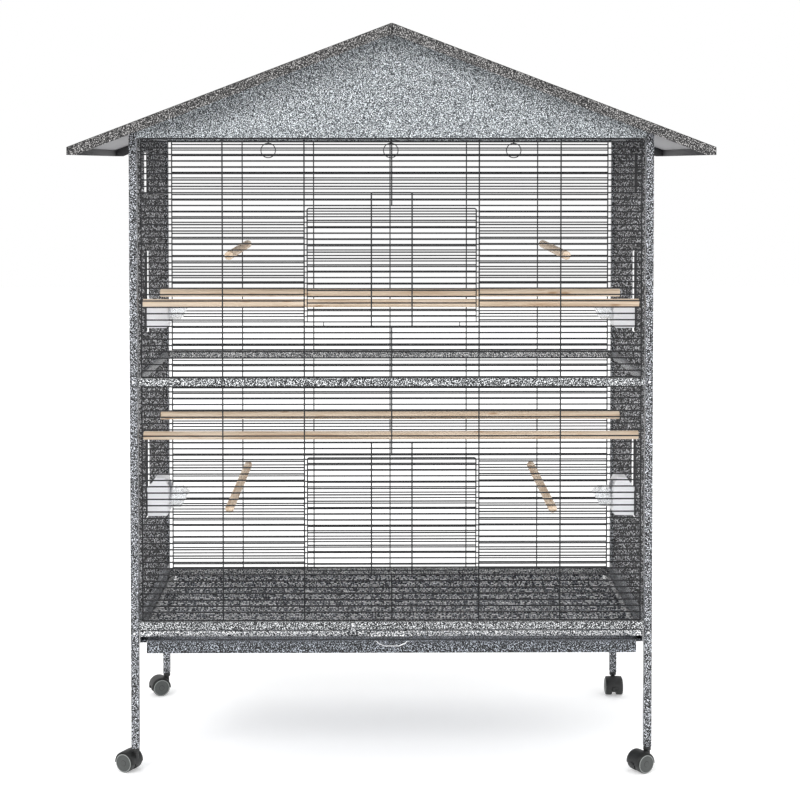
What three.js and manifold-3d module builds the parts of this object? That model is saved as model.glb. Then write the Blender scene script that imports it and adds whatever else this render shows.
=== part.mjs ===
// House-shaped indoor bird cage on four castored legs. Millimetres, +Z up.
// Origin: centre of the footprint on the floor. The front faces -Y, +X is to the right.
import * as THREE from 'three';
import { mergeVertices } from 'three/addons/utils/BufferGeometryUtils.js';
import Module from 'manifold-3d';

const wasm = await Module();
wasm.setup();

// ---------------------------------------------------------------- driving sizes
const HALF_W = 538;          // cage body, outer faces of the posts, half width
const HALF_D = 279;          // cage body, half depth
const TUBE = 16;             // square tube of posts and rails
const WALL = 1.2;            // tube wall
const GAP = 0.3;             // gap kept between touching pieces
const LEG_BOTTOM = 50;       // underside of the legs
const POST_TOP = 1333;       // posts end just under the roof
const MID_Z = [801, 817];    // mid rail
const LOW_Z = [296.5, 312.5];// bottom rail, front and sides
const BACK_LOW_Z = [283, 299];  // the back bottom rail sits lower, level with the floor grate
const TOP_Z = 1311;          // lower edge of the gable plates
const ROOF_HALF_W = 655;
const ROOF_HALF_D = 335;
const RIDGE_Z = 1541.5;
const EAVE_Z = 1291.5;
const EAVE_LOW_Z = 1275.5;
const FASCIA_H = 23;         // height of the folded front and back edges of the roof
const SHEET = 1.5;
const WIRE = 2;              // grille wire
const EDGE = 3;              // grille border wire
const PITCH = 13.08;         // pitch of the horizontal wires, front and back
const SIDE_PITCH = 13;       // pitch of the upright wires at the sides
const UPPER_HINGE_Z = 923.68; // wire that carries the upper door
const LOWER_HINGE_Z = 409.28; // wire that carries the lower door
const BACK_LOWER_ROW_Z = 388.1; // a wire of the lower back grille
const DOOR_ROWS = 19;        // wire rows spanned by a door opening
const DOOR_HALF_W = 175;
const BAY_HALF_W = 180;      // uprights at the sides of the door opening
const UPRIGHTS = [348, 180]; // inner uprights, mirrored
const GRILLE_Y = 271;        // middle of the front and back grilles
const GRILLE_X = 530;        // middle of the side grilles
const PERCH_D = 18;
const CUP_H = 82;
const WHEEL_R = 20;
const CASTOR_TRAIL = 17;
const SLOPE = (RIDGE_Z - EAVE_Z) / ROOF_HALF_W;

// ---------------------------------------------------------------- finishes
const mat = (color, roughness, metalness, extra = {}) => new THREE.MeshStandardMaterial({ color, roughness, metalness, ...extra });
const hammered = mat(0x6d7478, 0.45, 0.6);
const roofPaint = mat(0x6a6a6b, 0.5, 0.6);
const wirePaint = mat(0x4c5054, 0.45, 0.5);
const pine = mat(0xe2c9a4, 0.65, 0);
const whitePlastic = mat(0xf2f3f6, 0.35, 0);
const blackPlastic = mat(0x2b2d2e, 0.5, 0);
const castorPlastic = mat(0x3c3e3e, 0.45, 0);
const steel = mat(0xb9bcbe, 0.3, 1);

// ---------------------------------------------------------------- solids
const solid = (geometry) => {
  const g = geometry.index ? geometry.toNonIndexed() : geometry.clone();
  for (const name of Object.keys(g.attributes)) if (name !== 'position') g.deleteAttribute(name);
  const m = mergeVertices(g, 1e-4);
  return new wasm.Manifold(new wasm.Mesh({
    numProp: 3,
    vertProperties: Float32Array.from(m.attributes.position.array),
    triVerts: Uint32Array.from(m.index.array),
  }));
};
const geometryOf = (manifold) => {
  const m = manifold.getMesh();
  const g = new THREE.BufferGeometry();
  g.setAttribute('position', new THREE.BufferAttribute(Float32Array.from(m.vertProperties), 3));
  g.setIndex(new THREE.BufferAttribute(Uint32Array.from(m.triVerts), 1));
  g.computeVertexNormals();
  return g;
};
const BOX_FACES = [0, 2, 1, 0, 3, 2, 4, 5, 6, 4, 6, 7, 0, 1, 5, 0, 5, 4, 1, 2, 6, 1, 6, 5, 2, 3, 7, 2, 7, 6, 3, 0, 4, 3, 4, 7];
const tidy = (v) => Math.round(v * 1000) / 1000;
const box = (...limits) => {
  const [x0, x1, y0, y1, z0, z1] = limits.map(tidy);
  return new wasm.Manifold(new wasm.Mesh({
    numProp: 3,
    vertProperties: Float32Array.from([x0, y0, z0, x1, y0, z0, x1, y1, z0, x0, y1, z0, x0, y0, z1, x1, y0, z1, x1, y1, z1, x0, y1, z1]),
    triVerts: Uint32Array.from(BOX_FACES),
  }));
};
const cylGeo = (r, length, axis, x, y, z, sides = 12) => {
  const g = new THREE.CylinderGeometry(r, r, length, sides);
  if (axis === 'x') g.rotateZ(Math.PI / 2);
  if (axis === 'z') g.rotateX(Math.PI / 2);
  g.translate(x, y, z);
  return g;
};
const cyl = (...a) => solid(cylGeo(...a));
const union = (list) => list.reduce((a, b) => a.add(b));
const cut = (a, list) => list.reduce((p, b) => p.subtract(b), a);

// flat work in a plane; plane xz: t0 is the back face and the thickness runs towards -Y
const PLANES = {
  xz: (t0) => new THREE.Matrix4().makeBasis(new THREE.Vector3(1, 0, 0), new THREE.Vector3(0, 0, 1), new THREE.Vector3(0, -1, 0)).setPosition(0, t0, 0),
  yz: (t0) => new THREE.Matrix4().makeBasis(new THREE.Vector3(0, 1, 0), new THREE.Vector3(0, 0, 1), new THREE.Vector3(1, 0, 0)).setPosition(t0, 0, 0),
  xy: (t0) => new THREE.Matrix4().setPosition(0, 0, t0),
};
const slab = (plane, t0, t1, [u0, u1, v0, v1]) => (plane === 'xz' ? box(u0, u1, t0, t1, v0, v1)
  : plane === 'yz' ? box(t0, t1, u0, u1, v0, v1) : box(u0, u1, v0, v1, t0, t1));
const plate = (plane, t0, thickness, outer, holes = []) => {
  const [a, b] = plane === 'xz' ? [t0 - thickness, t0] : [t0, t0 + thickness];
  return cut(slab(plane, a, b, outer), holes.map((h) => slab(plane, a - 1, b + 1, h)));
};
const prismGeo = (plane, t0, thickness, points) => {
  const g = new THREE.ExtrudeGeometry(new THREE.Shape(points.map(([u, v]) => new THREE.Vector2(u, v))), { depth: thickness, bevelEnabled: false, steps: 1 });
  g.applyMatrix4(PLANES[plane](t0));
  return g;
};
const prism = (...a) => solid(prismGeo(...a));

const root = new THREE.Group();
const put = (name, shape, material, parent = root) => {
  const geometry = shape.isBufferGeometry ? shape : geometryOf(shape);
  const mesh = new THREE.Mesh(geometry, material);
  mesh.name = name;
  parent.add(mesh);
  return mesh;
};
const SIDES = [['left', -1], ['right', 1]];
const ENDS = [['front', -1], ['back', 1]];

// ---------------------------------------------------------------- posts with a plate for the castor stem
const tube = (x0, x1, y0, y1, z0, z1, along) => {
  const w = WALL, o = 1;
  const inner = {
    x: [x0 - o, x1 + o, y0 + w, y1 - w, z0 + w, z1 - w],
    y: [x0 + w, x1 - w, y0 - o, y1 + o, z0 + w, z1 - w],
    z: [x0 + w, x1 - w, y0 + w, y1 - w, z0 - o, z1 + o],
  }[along];
  return box(x0, x1, y0, y1, z0, z1).subtract(box(...inner));
};
for (const [end, ey] of ENDS) for (const [side, sx] of SIDES) {
  const cx = sx * (HALF_W - TUBE / 2), cy = ey * (HALF_D - TUBE / 2), h = TUBE / 2;
  const body = box(cx - h, cx + h, cy - h, cy + h, LEG_BOTTOM, POST_TOP);
  const bore = box(cx - h + WALL, cx + h - WALL, cy - h + WALL, cy + h - WALL, LEG_BOTTOM + 3, POST_TOP + 1);
  put(`${end}_${side}_post`, cut(body, [bore, cyl(4.5, 8, 'z', cx, cy, LEG_BOTTOM + 2, 12)]), hammered);
}

// ---------------------------------------------------------------- front and back rails
const RAIL_X = HALF_W - TUBE - GAP;
for (const [end, ey] of ENDS) {
  const y0 = ey < 0 ? -HALF_D : HALF_D - TUBE;
  put(`${end}_mid_rail`, tube(-RAIL_X, RAIL_X, y0, y0 + TUBE, MID_Z[0], MID_Z[1], 'x'), hammered);
  const low = ey < 0 ? LOW_Z : BACK_LOW_Z;
  put(`${end}_bottom_rail`, tube(-RAIL_X, RAIL_X, y0, y0 + TUBE, low[0], low[1], 'x'), hammered);
}

// ---------------------------------------------------------------- gable plates: folded sheet, channel along the lower edge
const roofUnder = (x) => RIDGE_Z - SLOPE * Math.abs(x) - SHEET * Math.sqrt(1 + SLOPE * SLOPE) - 0.5;
for (const [end, ey] of ENDS) {
  const outerY = ey * HALF_D;
  const yPlate = ey < 0 ? outerY + SHEET : outerY;      // back face of the sheet for the xz plane
  const x1 = RAIL_X;
  const pts = [[-x1, TOP_Z], [x1, TOP_Z], [x1, roofUnder(x1)], [2.6, roofUnder(2.6) - 22.5], [-2.6, roofUnder(2.6) - 22.5], [-x1, roofUnder(x1)]];
  // follow the slope, then dip under the ridge flanges
  const slopeIn = 4;
  pts.splice(3, 2, [slopeIn, roofUnder(slopeIn)], [slopeIn, roofUnder(0) - 24], [-slopeIn, roofUnder(0) - 24], [-slopeIn, roofUnder(slopeIn)]);
  const sheet = prism('xz', yPlate, SHEET, pts);
  const at = (d0, d1) => (ey < 0 ? [outerY + d0, outerY + d1] : [outerY - d1, outerY - d0]);
  const lip = [box(-x1 + 0.3, x1 - 0.3, ...at(0.6, TUBE - 0.3), TOP_Z + 0.1, TOP_Z + 0.1 + SHEET),
    box(-x1 + 0.5, x1 - 0.5, ...at(TUBE - SHEET, TUBE), TOP_Z + 0.3, TOP_Z + TUBE)];
  put(`${end}_gable_plate`, union([sheet, ...lip]), hammered);
}

// ---------------------------------------------------------------- roof panels: sheet with down-turned edges
for (const [side, sx] of SIDES) {
  const r = 0.35;
  const z = (x) => RIDGE_Z - SLOPE * x;
  const lowX = (RIDGE_Z - FASCIA_H - EAVE_LOW_Z) / SLOPE;
  const outer = [[r, z(r)], [r, z(r) - FASCIA_H], [lowX, EAVE_LOW_Z], [ROOF_HALF_W, EAVE_LOW_Z], [ROOF_HALF_W, EAVE_Z]].map(([x, v]) => [sx * x, v]);
  const under = (x) => z(x) - SHEET * Math.sqrt(1 + SLOPE * SLOPE);
  const a = r + SHEET, b = ROOF_HALF_W - SHEET;
  const inner = [[a, under(a)], [a, 1200], [b, 1200], [b, under(b)]].map(([x, v]) => [sx * x, v]);
  put(`${side}_roof_panel`, prism('xz', ROOF_HALF_D, 2 * ROOF_HALF_D, outer)
    .subtract(prism('xz', ROOF_HALF_D - SHEET, 2 * (ROOF_HALF_D - SHEET), inner)), roofPaint);
}

// ---------------------------------------------------------------- front and back grilles
const rows = (z0, z1, hingeZ) => {
  const list = [];
  for (let z = hingeZ; z > z0 + 8; z -= PITCH) list.unshift(z);
  for (let z = hingeZ + PITCH; z < z1 - 5; z += PITCH) list.push(z);
  return list;
};
const GX = 514;              // border uprights
const grille = (ey, z0, z1, hingeZ, door) => {
  const zs = rows(z0, z1, hingeZ);
  const yb = ey < 0 ? -GRILLE_Y + WIRE / 2 : GRILLE_Y + WIRE / 2;
  const lo = z0 + EDGE, hi = z1 - EDGE;
  const edges = [[lo, lo], ...zs.map((z) => [z - WIRE / 2, z + WIRE / 2]), [hi, hi]];
  const doorTop = hingeZ + DOOR_ROWS * PITCH;
  const holes = [];
  const a = -GX + EDGE / 2, b = GX - EDGE / 2, m = BAY_HALF_W, w = 1.2;
  for (let i = 0; i + 1 < edges.length; i++) {
    const v0 = edges[i][1], v1 = edges[i + 1][0];
    const split = door && v0 > hingeZ && v1 < doorTop;
    if (split) { holes.push([a, -m - w, v0, v1]); holes.push([m + w, b, v0, v1]); } else holes.push([a, b, v0, v1]);
  }
  if (door) holes.push([-m + w, m - w, hingeZ + WIRE / 2, doorTop - WIRE / 2]);
  const net = plate('xz', yb, WIRE, [-GX - EDGE / 2, GX + EDGE / 2, z0, z1], holes);
  // inner uprights stand behind the horizontal wires and are carried by the border bars
  const yi0 = ey < 0 ? yb + GAP : yb - WIRE - GAP - WIRE, yi1 = yi0 + WIRE;
  const bars = [], y0 = Math.min(yb - WIRE, yi0), y1 = Math.max(yb, yi1);
  const ex = GX + EDGE / 2 + 0.1;
  bars.push(box(-ex, ex, y0 - 0.1, y1 + 0.1, z0 - 0.1, lo + 0.1), box(-ex, ex, y0 - 0.1, y1 + 0.1, hi - 0.1, z1 + 0.1));
  for (const u of UPRIGHTS) for (const s of [-1, 1]) bars.push(box(s * u - 1.2, s * u + 1.2, yi0, yi1, z0 + 1, z1 - 1));
  if (door) {
    const yj0 = Math.min(yi0 + 0.5, yb - WIRE + 0.5), yj1 = Math.max(yi1 - 0.5, yb - 0.5);
    for (const [v0, v1, zc] of [[z0 + 1, hingeZ + 0.8, hingeZ], [doorTop - 0.8, z1 - 1, doorTop]]) {
      bars.push(box(-1.2, 1.2, yi0, yi1, v0, v1), box(-1.5, 1.5, yj0, yj1, zc - 0.6, zc + 0.6));
    }
  } else bars.push(box(-1.2, 1.2, yi0, yi1, z0 + 1, z1 - 1));
  return union([net, ...bars]);
};
const UP = [MID_Z[1] + 0.4, TOP_Z - 0.4], DOWN = [LOW_Z[1] + 0.4, MID_Z[0] - 0.4];
put('front_upper_grille', grille(-1, UP[0], UP[1], UPPER_HINGE_Z, true), wirePaint);
put('front_lower_grille', grille(-1, DOWN[0], DOWN[1], LOWER_HINGE_Z, true), wirePaint);
put('back_upper_grille', grille(1, UP[0], UP[1], UPPER_HINGE_Z, false), wirePaint);
put('back_lower_grille', grille(1, BACK_LOW_Z[1] + 0.4, DOWN[1], BACK_LOWER_ROW_Z, false), wirePaint);

// ---------------------------------------------------------------- front drop doors, hung on a wire of the grille, with a spring latch
const hingeLoop = (x, zc, length = 4) => cyl(3.2, length, 'x', x, -GRILLE_Y, zc, 10).subtract(cyl(1.8, length + 1, 'x', x, -GRILLE_Y, zc, 10));
for (const [name, zh] of [['upper', UPPER_HINGE_Z], ['lower', LOWER_HINGE_Z]]) {
  const z0 = zh + 7.4, z1 = zh + 243.62, b = EDGE - 0.4;
  const yb = -GRILLE_Y + WIRE / 2;
  const holes = [];
  const zs = []; for (let k = 1; k < DOOR_ROWS - 1; k++) zs.push(z0 + b / 2 + k * PITCH);
  const marks = [[0, z0 + b], ...zs.filter((z) => z > z0 + b + 3 && z < z1 - b - 2).map((z) => [z - WIRE / 2, z + WIRE / 2]), [z1 - b, 0]];
  for (let i = 0; i + 1 < marks.length; i++) holes.push([-DOOR_HALF_W + b, DOOR_HALF_W - b, marks[i][1], marks[i + 1][0]]);
  const net = plate('xz', yb, WIRE, [-DOOR_HALF_W, DOOR_HALF_W, z0, z1], holes);
  const knuckles = [-140, 140].flatMap((x) => [hingeLoop(x, zh), box(x - 2, x + 2, yb - WIRE, yb, zh + 2.4, z0 + 1)]);
  put(`${name}_door`, union([net, ...knuckles]), wirePaint);
  // U-shaped spring wire: two legs looped round the hinge wire, crossbar above the opening
  const L = 41.8, r = 1.25, yl = yb - WIRE - GAP - r - 0.1, top = zh + 274.92;
  const legs = [-L, L].flatMap((x) => [
    cyl(r, top - zh - 5, 'z', x, yl, (top + zh + 5) / 2, 6),
    hingeLoop(x, zh),
    box(x - 1.2, x + 1.2, yl - 0.8, yb - 0.4, zh + 2.0, zh + 5.6),
  ]);
  put(`${name}_door_latch`, union([...legs, cyl(r + 0.1, 2 * L + 2 * r + 0.6, 'x', 0, yl, top, 8)]), wirePaint);
}

// ---------------------------------------------------------------- side panels: rails, dense upright wires, openings for the cups and nest boxes
const K = (k) => k * SIDE_PITCH;
const FEED_Y = [K(-8), K(-2)], NEST_Y = [K(-8), K(-3)];
const FEED_UP = [890, 1072], FEED_LOW = [487, 676], NEST_Z = [1193, 1282];
const SIDE_EDGE = 260;
const sideGrille = (sx, z0, z1, openings, cross) => {
  const ks = []; for (let k = -19; k <= 19; k++) ks.push(K(k));
  const ys = [-SIDE_EDGE + EDGE / 2, ...ks, SIDE_EDGE - EDGE / 2];
  const halfOf = (i) => (i === 0 || i === ys.length - 1 ? EDGE / 2 : WIRE / 2);
  const lo = z0 + EDGE, hi = z1 - EDGE, holes = [];
  for (let i = 0; i + 1 < ys.length; i++) {
    const u0 = ys[i] + halfOf(i), u1 = ys[i + 1] - halfOf(i + 1), mid = (u0 + u1) / 2;
    const inside = openings.filter((o) => mid > o[0] && mid < o[1]).sort((p, q) => p[2] - q[2]);
    let v = lo;
    for (const o of inside) { holes.push([u0, u1, v, o[2] - WIRE / 2]); v = o[3] + WIRE / 2; }
    holes.push([u0, u1, v, hi]);
  }
  for (const o of openings) holes.push([o[0] + WIRE / 2, o[1] - WIRE / 2, o[2] + WIRE / 2, o[3] - WIRE / 2]);
  const x0 = sx * GRILLE_X - WIRE / 2;
  const net = plate('yz', x0, WIRE, [-SIDE_EDGE, SIDE_EDGE, z0, z1], holes);
  // cross wires on the inner side, carried by the thick border uprights
  const parts = [net];
  const xi0 = sx > 0 ? x0 - GAP - WIRE : x0 + WIRE + GAP, xi1 = xi0 + WIRE;
  const bx0 = Math.min(x0, xi0), bx1 = Math.max(x0 + WIRE, xi1);
  for (const s of [-1, 1]) parts.push(box(bx0 - 0.1, bx1 + 0.1, ...(s > 0 ? [SIDE_EDGE - EDGE - 0.2, SIDE_EDGE + 0.1] : [-SIDE_EDGE - 0.1, -SIDE_EDGE + EDGE + 0.2]), z0 - 0.1, z1 + 0.1));
  for (const z of cross) parts.push(box(xi0, xi1, -SIDE_EDGE + 1.5, SIDE_EDGE - 1.5, z - 1.2, z + 1.2));
  return union(parts);
};
const RAIL_Y = HALF_D - TUBE - GAP;
for (const [side, sx] of SIDES) {
  const rx0 = sx < 0 ? -HALF_W : HALF_W - TUBE;
  const rail = (z) => tube(rx0, rx0 + TUBE, -RAIL_Y, RAIL_Y, z, z + TUBE, 'y');
  const out = (d0, d1) => (sx < 0 ? [-d1, -d0] : [d0, d1]);          // distances from the middle plane
  // guides of the sliding nest box door, on stubs outside the wires
  const guides = [];
  for (const z of [NEST_Z[0] - 7.2, NEST_Z[1] + 5.2]) {
    guides.push(box(...out(531.4, 534.2), K(-9) - 1, K(3) + 1, z, z + 2));
    for (const y of [K(-9), K(3)]) guides.push(box(...out(529.2, 531.9), y - 0.8, y + 0.8, z + 0.3, z + 1.7));
  }
  const upperNet = sideGrille(sx, MID_Z[1] + 0.4, TOP_Z + 0.3, [[...FEED_Y, ...FEED_UP], [...NEST_Y, ...NEST_Z]], [FEED_UP[1] + 6, NEST_Z[0] - 4]);
  put(`${side}_upper_panel`, union([upperNet, rail(TOP_Z), ...guides]), hammered);
  const lowerNet = sideGrille(sx, LOW_Z[1] - 0.3, MID_Z[0] + 0.3, [[...FEED_Y, ...FEED_LOW]], [FEED_LOW[1] + 6, FEED_LOW[0] - 4]);
  put(`${side}_lower_panel`, union([lowerNet, rail(LOW_Z[0]), rail(MID_Z[0])]), hammered);
  // runner below the bottom rail: upper shelf for the floor grate, lower shelf for the tray
  const web = box(...out(520.2, 521.7), -RAIL_Y, RAIL_Y, 266, LOW_Z[0] - GAP);
  const shelf = (z) => box(...out(508, 520.7), -RAIL_Y + 0.5, RAIL_Y - 0.5, z, z + SHEET);
  put(`${side}_tray_runner`, union([web, shelf(266.3), shelf(281.2)]), hammered);
}

// ---------------------------------------------------------------- cup doors: small wired flaps, their eyelets round the top wire of the opening
const FLAP_X = GRILLE_X + WIRE / 2 + 0.4;
const flap = (sx, y0, y1, z0, z1) => {
  const b = 2.4, holes = [];
  const ks = []; for (let k = -8; k <= 5; k++) if (K(k) + 6.5 > y0 + b + 3 && K(k) + 6.5 < y1 - b - 3) ks.push(K(k) + 6.5);
  const us = [y0 + b / 2, ...ks, y1 - b / 2];
  for (let i = 0; i + 1 < us.length; i++) holes.push([us[i] + (i === 0 ? b / 2 : 1), us[i + 1] - (i === us.length - 2 ? b / 2 : 1), z0 + b, z1 - b]);
  return plate('yz', sx < 0 ? -FLAP_X - WIRE : FLAP_X, WIRE, [y0, y1, z0, z1], holes);
};
const eyelet = (sx, y, z) => cyl(3.2, 3, 'y', sx * GRILLE_X, y, z, 10).subtract(cyl(1.8, 4, 'y', sx * GRILLE_X, y, z, 10));
for (const [side, sx] of SIDES) for (const [level, fz] of [['upper', FEED_UP], ['lower', FEED_LOW]]) {
  const top = fz[1] - 3.6, xs = sx < 0 ? [-GRILLE_X - 3.1, -GRILLE_X - 1.5] : [GRILLE_X + 1.5, GRILLE_X + 3.1];
  const eyes = [-97.5, -58.5].flatMap((y) => [eyelet(sx, y, fz[1]), box(...xs, y - 1.3, y + 1.3, top - 1, fz[1] - 1.3)]);
  put(`${side}_${level}_cup_door`, union([flap(sx, K(-8) + 0.4, K(-8) + 60, fz[0] + 2, top), ...eyes]), wirePaint);
}
// nest box doors slide on the guides: the left one is drawn open, the right one closed
for (const [side, sx, shift] of [['left', -1, 66], ['right', 1, 0]]) {
  put(`${side}_nest_door`, flap(sx, K(-8) - 1 + shift, K(-3) + 1 + shift, NEST_Z[0] - 4.6, NEST_Z[1] + 4.6), wirePaint);
}

// ---------------------------------------------------------------- cups inside the side panels: the upper ones open at the top, the lower ones hooded
const cupSolid = (sx, zb, hooded) => {
  const y0 = -98, y1 = -32, P = (pts) => pts.map(([x, z]) => [sx * x, zb + z]);
  const outerPts = hooded ? [[526, 0], [526, 59], [510, CUP_H], [489, CUP_H], [480, 62], [480, 8], [484, 0]]
    : [[526, 0], [526, 58], [480, 58], [480, 8], [484, 0]];
  const innerPts = hooded ? [[524, 2], [524, 58.3], [509, 80], [490.4, 80], [482, 61.5], [482, 8.6], [485.1, 2]]
    : [[524, 2], [524, 60], [482, 60], [482, 8.6], [485.1, 2]];
  const body = prism('xz', y1, y1 - y0, P(outerPts)).subtract(prism('xz', y1 - 2, y1 - y0 - 4, P(innerPts)));
  const mouth = box(...(sx > 0 ? [470, 488] : [-488, -470]), y0 + 8, y1 - 8, zb + 34, zb + (hooded ? 70 : 68));
  const gOut = [[481, 19], [454, 19], [440, 45], [454, 56], [481, 56]];
  const gIn = [[484, 20.6], [455, 20.6], [441.8, 44.9], [457, 57.5], [484, 57.5]];
  const guard = prism('xz', y1 - 5, y1 - y0 - 10, P(gOut)).subtract(prism('xz', y1 - 6.4, y1 - y0 - 12.8, P(gIn)));
  // two hooks that hang over a wire of the panel
  const hooks = [-90, -44].map((y) => box(...(sx > 0 ? [524.5, 526.2] : [-526.2, -524.5]), y, y + 4, zb + 40, zb + (hooded ? 58 : 51.5)));
  return union([body, guard.subtract(prism('xz', y1, y1 - y0, P(innerPts))), ...hooks]).subtract(mouth);
};
for (const [side, sx] of SIDES) for (const [level, zb] of [['upper', 904], ['lower', 497]]) {
  put(`${side}_${level}_cup`, cupSolid(sx, zb, level === 'lower'), whitePlastic);
}

// ---------------------------------------------------------------- perches
for (const [level, z] of [['upper', 962], ['lower', 680]]) for (const [end, ey] of ENDS) {
  put(`${end}_${level}_perch`, cylGeo(PERCH_D / 2, 1053, 'x', 0, ey * 150, z, 14), pine);
}
for (const [level, side, x, z] of [['upper', 'left', -335, 1069], ['upper', 'right', 360, 1069], ['lower', 'left', -335, 546], ['lower', 'right', 333, 545]]) {
  put(`${side}_${level}_cross_perch`, cylGeo(PERCH_D / 2, 533, 'y', x, 0, z, 14), pine);
}

// ---------------------------------------------------------------- bar with hooks and hanging rings
const RING_X = [-270, 0, 271], RING_R = 16, HOOK_Z = 1300.7;
const hookSet = RING_X.flatMap((x) => [
  cyl(1, 14, 'y', x, 0, HOOK_Z, 8),
  ...[-6, 6].map((y) => cyl(1, 11.5, 'z', x, y, HOOK_Z + 5.2, 8)),
]);
put('toy_bar', union([box(-RAIL_X, RAIL_X, -8, 8, TOP_Z, TOP_Z + 10), ...hookSet]), hammered);
RING_X.forEach((x, i) => {
  const g = new THREE.TorusGeometry(RING_R, 1, 6, 18);
  g.rotateX(Math.PI / 2);
  g.translate(x, 0, HOOK_Z + 2.3 - RING_R);
  put(`${['left', 'middle', 'right'][i]}_hanging_ring`, g, wirePaint);
});

// ---------------------------------------------------------------- slide-out floor grate and tray
const GRATE_Z = 283, STRIP_TOP = 293.8;
const LATCH_X = -80, NOTCH = 9;   // the turn latch hangs in a notch of the strip
const PULL_Z = 289, PULL_X = [-48, 45];
const grateWires = []; for (let y = -252; y <= 253; y += 13) grateWires.push(y);
const grateHoles = [];
{
  const ys = [-259, ...grateWires, 259];
  for (let i = 0; i + 1 < ys.length; i++) grateHoles.push([-508, 508, ys[i] + (i === 0 ? 3 : 1), ys[i + 1] - (i === ys.length - 2 ? 3 : 1)]);
}
const grate = union([
  plate('xy', GRATE_Z, WIRE, [-518, 518, -262, 262], grateHoles),
  box(-518, 518, -278.5, -277, GRATE_Z, STRIP_TOP).subtract(box(LATCH_X - NOTCH, LATCH_X + NOTCH, -280, -276, GRATE_Z + 2.1, STRIP_TOP + 1)),
  box(-518, 518, -278, -258, GRATE_Z, GRATE_Z + WIRE),
  // cross supports lie on the wires and join the strip and a thick end wire
  ...[-347, -174, 0, 174, 347].map((x) => box(x - 1.2, x + 1.2, -277.5, 259, GRATE_Z + WIRE + 0.4, GRATE_Z + WIRE + 2.2)),
  box(-506, 506, 256.5, 261.5, GRATE_Z + 0.5, GRATE_Z + WIRE + 2.4),
  // wire pull welded to the strip
  ...PULL_X.map((x) => cyl(1.5, 20, 'y', x, -288, PULL_Z, 8)),
  cyl(1.6, PULL_X[1] - PULL_X[0] + 3, 'x', (PULL_X[0] + PULL_X[1]) / 2, -297, PULL_Z, 8),
]);
put('floor_grate', grate, wirePaint);

// the tray front stands upright and then curls outwards to a lip
const trayProfile = [[-283, 249], [-281.4, 249], [-281.4, 266.4], [-282.7, 271.2], [-286.4, 276.2], [-292.4, 280.2], [-300, 282.6], [-300, 280.9], [-293, 278.6], [-287.6, 275], [-284.2, 270.5], [-283, 266]];
const trayFront = solid(prismGeo('yz', -500, 1000, trayProfile));
const pan = box(-505, 505, -282, 262, 249.2, 271.4).subtract(box(-503.8, 503.8, -280.4, 260.8, 250.4, 273));
const backWall = box(-504.7, 504.7, 260.4, 261.7, 260, 282.4);
const flange = [-1, 1].map((s) => box(...(s < 0 ? [-518, -504.4] : [504.4, 518]), -261.5, 261.5, 269.8, 271.2));
const BAIL_Y = -296.5, BAIL_Z = 277.2;
const ears = [-1, 1].map((s) => box(...(s < 0 ? [-34.2, -32.4] : [32.4, 34.2]), -299, -293.6, 274.6, 280.3).subtract(cyl(1.6, 6, 'x', s * 33.3, BAIL_Y, BAIL_Z, 10)));
put('tray', union([trayFront, pan, backWall, ...flange, ...ears]), hammered);
{
  const r = 1.2;
  const bail = union([
    ...[-1, 1].map((s) => cyl(r, 6, 'x', s * 32.6, BAIL_Y, BAIL_Z, 8)),
    ...[-1, 1].map((s) => prism('xz', BAIL_Y + r - 0.2, 2 * r - 0.4, [[29.8, 278], [31.8, 277.4], [30.6, 273.4], [16.6, 266.9], [14.2, 268.4], [27.8, 274.6]].map(([a, b]) => [s * a, b]))),
    cyl(r, 32, 'x', 0, BAIL_Y, BAIL_Z - 9.5, 8),
  ]);
  put('tray_handle', bail, steel);
}

// ---------------------------------------------------------------- turn latch: a small plate under a screw, hanging in the notch of the strip
{
  const z = 305.2, tip = GRATE_Z + 2.4;
  const shape = new THREE.Shape();
  shape.absarc(0, 0, 6, 0, Math.PI, false);
  shape.lineTo(-4.4, -7.5);
  shape.lineTo(-7, tip - z + 5);
  shape.lineTo(-7, tip - z + 1.5);
  shape.lineTo(-5.5, tip - z);
  shape.lineTo(5.5, tip - z);
  shape.lineTo(7, tip - z + 1.5);
  shape.lineTo(7, tip - z + 5);
  shape.lineTo(4.4, -7.5);
  const g = new THREE.ExtrudeGeometry(shape, { depth: 1.5, bevelEnabled: false, steps: 1, curveSegments: 8 });
  g.applyMatrix4(PLANES.xz(-HALF_D - 0.3));
  g.translate(LATCH_X, 0, z);
  put('turn_latch', union([solid(g), cyl(3.4, 1.8, 'y', LATCH_X, -HALF_D - 2.4, z, 12)]), steel);
}

// ---------------------------------------------------------------- twin-wheel castors
const castor = (name, cx, cy, dirX, dirY) => {
  const angle = Math.atan2(dirY, dirX);
  const g = new THREE.Group();
  g.position.set(cx, cy, 0);
  g.rotation.z = angle;                                  // local +X is the trailing direction
  root.add(g);
  const T = CASTOR_TRAIL, R = WHEEL_R;
  const fender = cyl(R + 2.8, 37, 'y', T, 0, R, 20)
    .subtract(cyl(R + 0.8, 39, 'y', T, 0, R, 20))
    .subtract(box(T - 40, T + 40, -30, 30, -10, R - 1));
  const web = cyl(R + 1.6, 9, 'y', T, 0, R, 20).subtract(box(T - 40, T + 40, -10, 10, -20, 9))
    .subtract(cyl(3.4, 12, 'y', T, 0, R, 10));
  const neck = cyl(4.4, 22, 'z', 0, 0, 32, 12);
  const collar = cyl(8, 6.6, 'z', 0, 0, 46.3, 16);
  const stem = cyl(4, 26, 'z', 0, 0, 61.5, 12);
  put(`${name}_castor`, union([fender, web, neck, collar, stem]), blackPlastic, g);
  const wheels = union([
    ...[-1, 1].map((s) => cyl(R, 15.4, 'y', T, s * (5 + 7.7 + 0.2), R, 22)),
    cyl(3, 20, 'y', T, 0, R, 10),
  ]);
  put(`${name}_wheels`, wheels, castorPlastic, g);
};
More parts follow.
